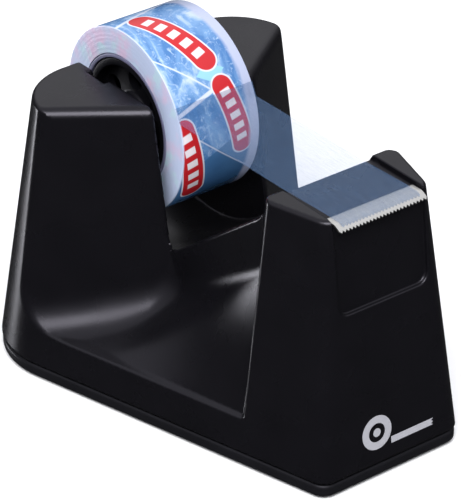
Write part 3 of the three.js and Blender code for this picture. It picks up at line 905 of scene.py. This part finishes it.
def build_screw(index, spot, material):
    """A pan-head screw, head down, with a cross recess and a thread on its shank."""
    sx, sy = spot
    top = SCREW_RECESS + SCREW_HEAD_HEIGHT - GAP / 2
    tip = top + SCREW_LENGTH
    shoulder = SCREW_RECESS + 0.8
    profile = [(SCREW_RECESS, 1.3), (SCREW_RECESS + 0.18, 2.0), (SCREW_RECESS + 0.5, 2.45),
               (shoulder, SCREW_HEAD_RADIUS), (top, SCREW_HEAD_RADIUS), (top, 1.05)]
    thread = np.arange(top + 0.4, tip - 1.0, 0.35)
    profile += [(z, SCREW_RADIUS if i % 2 else 1.0) for i, z in enumerate(thread)]
    profile.append((tip - 0.5, 0.9))
    turn = turns(40)
    rows = [[(sx + r * math.cos(t), sy + r * math.sin(t), z) for t in turn] for z, r in profile]
    piece = swept(f"screw_{index}", rows, material)
    square = [(-1, -1), (1, -1), (1, 1), (-1, 1)]
    for half_y, half_x in (SLOT_HALVES, SLOT_HALVES[::-1]):
        rows = [[(sx + a * half_x * grow, sy + b * half_y * grow, z) for a, b in square]
                for z, grow in ((0.0, 1.1), (shoulder, 0.75))]
        cut_out(piece, swept("slot", rows, None))
    piece.data.set_sharp_from_angle(angle=math.radians(35))
    return own(piece, "housing", "screw", f"base_screw_{index}")


def bend(points, radius, steps=5):
    """An open path with rounded corners."""
    pts = [np.array(p, float) for p in points]
    out = [pts[0]]
    for a, p, b in zip(pts, pts[1:], pts[2:]):
        u, v = a - p, b - p
        r = min(radius, 0.45 * np.linalg.norm(u), 0.45 * np.linalg.norm(v))
        start, end = p + u / np.linalg.norm(u) * r, p + v / np.linalg.norm(v) * r
        for k in range(steps + 1):
            t = k / steps
            out.append((1 - t) ** 2 * start + 2 * t * (1 - t) * p + t * t * end)
    return np.array(out + [pts[-1]])


def directions(path):
    """The directions along a path in y and z and square to it, at each of its points."""
    ahead = np.gradient(path, axis=0)
    ahead /= np.linalg.norm(ahead, axis=1)[:, None]
    return ahead, np.stack([ahead[:, 1], -ahead[:, 0]], 1)


def build_blade(material):
    """The bent steel strip: a lip down into the platform, a flange, and a bevel that ends in teeth."""
    half = BLADE_THICKNESS / 2
    mid_z = BLADE_TOP_Z - half
    drop = np.array([-BEVEL_RUN, -BEVEL_DROP]) / math.hypot(BEVEL_RUN, BEVEL_DROP)
    fold = np.array([FOLD_Y, mid_z])
    reach = math.hypot(BEVEL_RUN, BEVEL_DROP)
    lip = np.array([GROOVE_Y - half, PLATFORM_Z - BLADE_LIP + GAP])
    path = bend([lip, (GROOVE_Y - half, mid_z), fold, fold + drop * (reach - 1.1)], 0.6)
    teeth_path = [fold + drop * (reach - d) for d in (0.8, TOOTH_DEPTH)]
    path = np.vstack([path, teeth_path])
    _, normal = directions(path)
    thick = np.full(len(path), half)
    columns = np.linspace(-BLADE_HALF, BLADE_HALF, 2 * TEETH + 1)
    sections = []
    for i, x in enumerate(columns):
        tooth = TOOTH_DEPTH if i % 2 else 0.0
        tip = fold + drop * (reach - TOOTH_DEPTH + tooth)
        line = np.vstack([path, [tip]])
        nrm = np.vstack([normal, [normal[-1]]])
        over = np.append(thick, half)
        over[-3:] = [half, half * 0.55, half * (0.55 - 0.75 * tooth)]
        under = np.append(thick, half * 0.98)
        upper = line + nrm * over[:, None]
        lower = line - nrm * under[:, None]
        ring = np.vstack([upper, lower[::-1]])
        sections.append([(x, y, z) for y, z in ring])
    piece = swept("blade", sections, material, 25)
    return own(piece, "housing", "blade", "cutting_blade")


# ---------------------------------------------------------------- axle, hub, core and roll

HUB_OUTER = CORE_BORE_RADIUS - GAP / 2
HUB_INNER = HUB_OUTER - 1.6
HUB_BOSS = 5.0
HUB_BORE = AXLE_RADIUS + 0.15
HUB_RIM = TAPE_WIDTH / 2 - GAP
HUB_WEB = HUB_RIM - 2.4
HUB_SPACER = POCKET_HALF - 2 * GAP
HUB_SHOULDER = HUB_WEB - 1.6
HUB_WINDOWS = 6


def build_axle(material):
    end = POCKET_HALF + SLOT_DEPTH - GAP
    points = [(-end, 0.01), (-end, AXLE_RADIUS), (end, AXLE_RADIUS), (end, 0.01)]
    profile = rounded(points, [0, 0.4, 0.4, 0])
    return own(turned("axle", profile, material, 96), "axle", "axle", "axle_pin")


def build_hub(side, node, material):
    """One half of the hub: rim, web with round windows, boss on the axle and a spacer towards the cheek."""
    near = GAP / 2
    points = [(near, HUB_BORE), (near, HUB_BOSS), (HUB_SHOULDER, HUB_BOSS), (HUB_SHOULDER, HUB_INNER),
              (near, HUB_INNER), (near, HUB_OUTER), (HUB_RIM, HUB_OUTER), (HUB_RIM, HUB_INNER),
              (HUB_WEB, HUB_INNER), (HUB_WEB, HUB_BOSS), (HUB_SPACER, (HUB_BORE + HUB_BOSS) / 2),
              (HUB_SPACER, HUB_BORE)]
    profile = rounded(points, [0.1, 0.1, 0.4, 0.4, 0.2, 0.1, 0.35, 0.35, 0.6, 0.6, 0.3, 0.2], 3)
    profile[:, 0] *= side
    piece = turned("hub_" + ("right" if side > 0 else "left") + "_half", profile, material, 120)
    at = (HUB_BOSS + HUB_INNER) / 2
    radius = (HUB_INNER - HUB_BOSS) / 2 - 0.9
    turn = turns(40)
    for k in range(HUB_WINDOWS):
        angle = 2 * math.pi * k / HUB_WINDOWS
        cy, cz = AXLE_Y + at * math.sin(angle), AXLE_Z + at * math.cos(angle)
        rows = [[(x, cy + radius * math.cos(t), cz + radius * math.sin(t)) for t in turn]
                for x in (side * (HUB_WEB - 3), side * (HUB_WEB + 1.5))]
        cut_out(piece, swept("window", rows, None))
    piece.data.set_sharp_from_angle(angle=math.radians(30))
    return own(piece, "roll", "hub", node)


def build_core(material):
    half = TAPE_WIDTH / 2
    points = [(-half, CORE_BORE_RADIUS), (-half, CORE_RADIUS)]
    points += [(half, CORE_RADIUS), (half, CORE_BORE_RADIUS)]
    return own(turned("core", rounded(points, 0.2), material, 160), "roll", "core", "tape_core")


def build_winding(material):
    """The wound tape. Its layers stand a few hundredths of a millimetre proud or shy of each other."""
    half = TAPE_WIDTH / 2
    inner = CORE_RADIUS + GAP / 2
    radii = np.linspace(inner, ROLL_RADIUS - 0.12, 34)
    shy = 0.02 + 0.03 * (0.5 + 0.5 * np.sin(radii * 5.3) * np.sin(radii * 12.1 + 1.0))
    right = [(half - s, r) for r, s in zip(radii, shy)]
    left = [(-half + s, r) for r, s in zip(radii[::-1], shy[::-1])]
    over = [(half - 0.06, ROLL_RADIUS - 0.03), (half - 0.14, ROLL_RADIUS)]
    profile = right + over + [(-x, r) for x, r in over[::-1]] + left
    return own(turned("winding", profile, material, 256, 40), "roll", "tape", "tape_winding")


FILM_THICKNESS = 0.09
FILM_RADIUS = ROLL_RADIUS + 0.2
FILM_WRAP = 0.16
FILM_LIFT = 0.12
FILM_END = 5.6
FILM_PIECE = 0.8
FILM_WAVE = 0.10
FILM_TEAR = 0.45


def build_leader(material):
    """The free end of the tape: off the roll, across the platform and the blade, to a serrated end."""
    leave = math.asin((PLATFORM_Z - 0.1 - AXLE_Z) / FILM_RADIUS)
    around = [(AXLE_Y - FILM_RADIUS * math.cos(a), AXLE_Z + FILM_RADIUS * math.sin(a))
              for a in np.linspace(leave + FILM_WRAP, leave, 6)]
    rest_y = FRONT_Y + TOWER_DEPTH - TOWER_LEAN
    lie_z = BLADE_TOP_Z + FILM_LIFT
    drop = BEVEL_DROP / BEVEL_RUN
    path = bend([*around, (rest_y, PLATFORM_Z + 0.3), (GROOVE_Y + 0.4, lie_z), (FOLD_Y, lie_z),
                 (FRONT_Y + FILM_END, lie_z - drop * (FOLD_Y - FRONT_Y - FILM_END))], 0.8, 4)
    fine = [path[0]]
    for a, b in zip(path, path[1:]):
        steps = max(1, int(np.linalg.norm(b - a) / FILM_PIECE))
        fine += [a + (b - a) * k / steps for k in range(1, steps + 1)]
    path = np.array(fine)
    ahead, normal = directions(path)
    half = TAPE_WIDTH / 2
    columns = np.linspace(-half, half, 2 * TEETH - 3)
    span = np.clip((path[:, 0] - rest_y) / (around[-1][0] - rest_y), 0, 1)
    sections = []
    for i, x in enumerate(columns):
        wave = FILM_WAVE * np.sin(math.pi * span) * math.cos(x * 0.5) * (path[:, 0] < around[-1][0])
        line = path + normal * wave[:, None]
        line[-1] += ahead[-1] * (FILM_TEAR if i % 2 else 0.0)
        upper = line + normal * FILM_THICKNESS / 2
        lower = line - normal * FILM_THICKNESS / 2
        sections.append([(x, y, z) for y, z in np.vstack([upper, lower[::-1]])])
    piece = swept("leader", sections, material, 50)
    return own(piece, "axle", "film", "tape_leader")


# ---------------------------------------------------------------- printed mark on the front

MARK_X = -3.6
MARK_Z = 10.4
MARK_RING = 3.6
MARK_HOLE = 2.0
MARK_CORE = 0.9
MARK_TAIL = 10.4
MARK_INK = 0.04
MARK_SUNK = 0.02


def ink(name, outline, material, hole=None):
    """A patch of ink on the front face, from an outline in x and z and a hole of as many points."""
    outline = np.asarray(outline)
    inner = np.asarray(hole) if hole is not None else None
    n = len(outline)

    def at(points, lift):
        return [(x, front_y(z) + MARK_SUNK - lift, z) for x, z in points]

    if inner is None:
        verts = at(outline, MARK_INK + MARK_SUNK) + at(outline, 0)
        faces = [tuple(range(n)), tuple(range(n, 2 * n))[::-1]]
        faces += [(k, k + n, (k + 1) % n + n, (k + 1) % n) for k in range(n)]
    else:
        proud = MARK_INK + MARK_SUNK
        verts = at(outline, proud) + at(inner, proud) + at(inner, 0) + at(outline, 0)
        faces = []
        for a in range(4):
            b = (a + 1) % 4
            faces += [(a * n + k, a * n + (k + 1) % n, b * n + (k + 1) % n, b * n + k) for k in range(n)]
    piece = mesh_piece(name, verts, faces, material, False)
    face_outwards(piece)
    return own(piece, "housing", "housing")


def circle(radius, count=64):
    return [(MARK_X + radius * math.cos(t), MARK_Z + radius * math.sin(t)) for t in turns(count)]


def build_mark(material):
    """A pictogram of a roll of tape with its free end."""
    ink("mark_roll", circle(MARK_RING), material, circle(MARK_HOLE))
    ink("mark_core", circle(MARK_CORE, 32), material)
    low = MARK_Z - MARK_RING
    start = MARK_X + MARK_RING * 0.95
    tail = [(start, low), (MARK_TAIL, low), (MARK_TAIL - 0.5, low + 0.35), (MARK_TAIL, low + 0.7),
            (MARK_TAIL - 0.5, low + 1.05), (MARK_TAIL, low + 1.4), (start, low + 1.4)]
    ink("mark_tail", tail, material)


# ---------------------------------------------------------------- the object

black = moulded_plastic("housing_plastic", tint(0.0026, 0.0025, 0.0033), tint(0.0046, 0.0043, 0.0058),
                        0.27, specular=0.3)
base_black = moulded_plastic("base_plastic", tint(0.004, 0.004, 0.005), tint(0.008, 0.008, 0.010), 0.42)
hub_black = moulded_plastic("hub_plastic", tint(0.003, 0.003, 0.004), tint(0.006, 0.006, 0.008),
                            0.45, specular=0.15)
zinc = cast_metal("zinc_plate", tint(0.42, 0.43, 0.46), tint(0.60, 0.61, 0.63), 1.2, 0.32)
axle_steel = cast_metal("axle_plate", tint(0.30, 0.30, 0.31), tint(0.48, 0.48, 0.49), 1.5, 0.34)
iron = cast_metal("ballast_iron", tint(0.10, 0.10, 0.11), tint(0.22, 0.22, 0.23), 2.5, 0.55)
mark_ink = moulded_plastic("mark_ink", tint(0.30, 0.30, 0.33), tint(0.36, 0.36, 0.39), 0.5, 0.004, 0.3)

spots = screw_spots()
build_housing(black)
build_base(base_black, spots)
build_pad(foam_rubber("foam"), spots)
for index, spot in enumerate(spots, 1):
    build_screw(index, spot, zinc)
build_blade(ground_steel("blade_steel"))
build_axle(axle_steel)
build_hub(-1, "hub_left", hub_black)
build_hub(1, "hub_right", hub_black)
build_core(core_plastic("core_plastic"))
build_winding(printed_film("printed_film"))
build_leader(clear_film("clear_film", 0.16, tint(0.06, 0.12, 0.25)))
build_mark(mark_ink)
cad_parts["ballast_plate"].material_slots[0].material = iron

# ---------------------------------------------------------------- floor, light and camera

FLOOR_HALF = 3.0


def floor_paper():
    r = Recipe("floor_paper")
    r.set(Base_Color=r.mix(r.noise(60.0, 4.0), tint(0.82, 0.82, 0.83), tint(0.86, 0.86, 0.87)))
    r.set(Specular_IOR_Level=0.1)
    r.gloss(r.noise(20.0), 0.75, 0.85)
    return r.material


half = FLOOR_HALF / MM
floor_corners = [(-half, -half, 0), (half, -half, 0), (half, half, 0), (-half, half, 0)]
floor = mesh_piece("floor", floor_corners, [(0, 1, 2, 3)], floor_paper(), False)
floor.visible_glossy = False

CAMERA_AT = Vector((-0.33633, -0.4328, 0.36077))
CAMERA_LOOKS = Vector((0.521, 0.6777, -0.519))
CAMERA_LENS = 154.06
CAMERA_SENSOR = 24.0
CAMERA_NEAR = 0.01


def panel_light(name, at, towards, width, height, strength):
    light = bpy.data.lights.new(name, "AREA")
    light.shape = "RECTANGLE"
    light.size = width
    light.size_y = height
    light.energy = strength
    lamp = bpy.data.objects.new(name, light)
    lamp.location = at
    lamp.rotation_euler = (Vector(towards) - Vector(at)).to_track_quat("-Z", "Y").to_euler()
    bpy.context.scene.collection.objects.link(lamp)


panel_light("key", (-0.40, -0.52, 0.95), (0, 0, 0.03), 0.6, 0.6, 14.0)
panel_light("side_card", (-0.68, -0.17, 0.86), (0, 0, 0.03), 0.36, 0.36, 2.6)
panel_light("back_card", (0.80, 1.00, 0.78), (0, 0, 0.04), 1.5, 0.9, 1.6)

# Light of the surround: its strength goes from the third number to the fourth as the cosine to a direction
# goes from the first to the second
SKY_TOWARDS = (0, 0, 1)
SKY = (0.10, 0.80, 0.06, 1.0)
GLOW_TOWARDS = Vector((-0.42, 0.87, -0.26)).normalized()
GLOW = (0.982, 0.998, 0.0, 12.0)
SKY_COLOUR = (0.95, 0.96, 1.0, 1.0)


def studio_world():
    """Even light from above, a dim surround low down, and one small glow low behind, towards -X."""
    world = bpy.data.worlds.new("studio")
    world.use_nodes = True
    tree = world.node_tree
    sky = tree.nodes["Background"]
    ways = tree.nodes.new("ShaderNodeTexCoord").outputs["Generated"]

    def eased(direction, limits):
        dot = tree.nodes.new("ShaderNodeVectorMath")
        dot.operation = "DOT_PRODUCT"
        tree.links.new(ways, dot.inputs[0])
        dot.inputs[1].default_value = direction
        ease = tree.nodes.new("ShaderNodeMapRange")
        ease.interpolation_type = "SMOOTHSTEP"
        tree.links.new(dot.outputs["Value"], ease.inputs[0])
        for socket, value in zip(ease.inputs[1:5], limits):
            socket.default_value = value
        return ease.outputs[0]

    total = tree.nodes.new("ShaderNodeMath")
    total.operation = "ADD"
    tree.links.new(eased(SKY_TOWARDS, SKY), total.inputs[0])
    tree.links.new(eased(GLOW_TOWARDS, GLOW), total.inputs[1])
    tree.links.new(total.outputs[0], sky.inputs["Strength"])
    sky.inputs["Color"].default_value = SKY_COLOUR
    return world


bpy.context.scene.world = studio_world()

lens = bpy.data.cameras.new("camera")
lens.sensor_fit = "VERTICAL"
lens.sensor_height = CAMERA_SENSOR
lens.lens = CAMERA_LENS
lens.clip_start = CAMERA_NEAR
camera = bpy.data.objects.new("camera", lens)
camera.location = CAMERA_AT
camera.rotation_euler = CAMERA_LOOKS.to_track_quat("-Z", "Y").to_euler()
bpy.context.scene.collection.objects.link(camera)
bpy.context.scene.camera = camera
bpy.context.scene.view_settings.view_transform = "Standard"
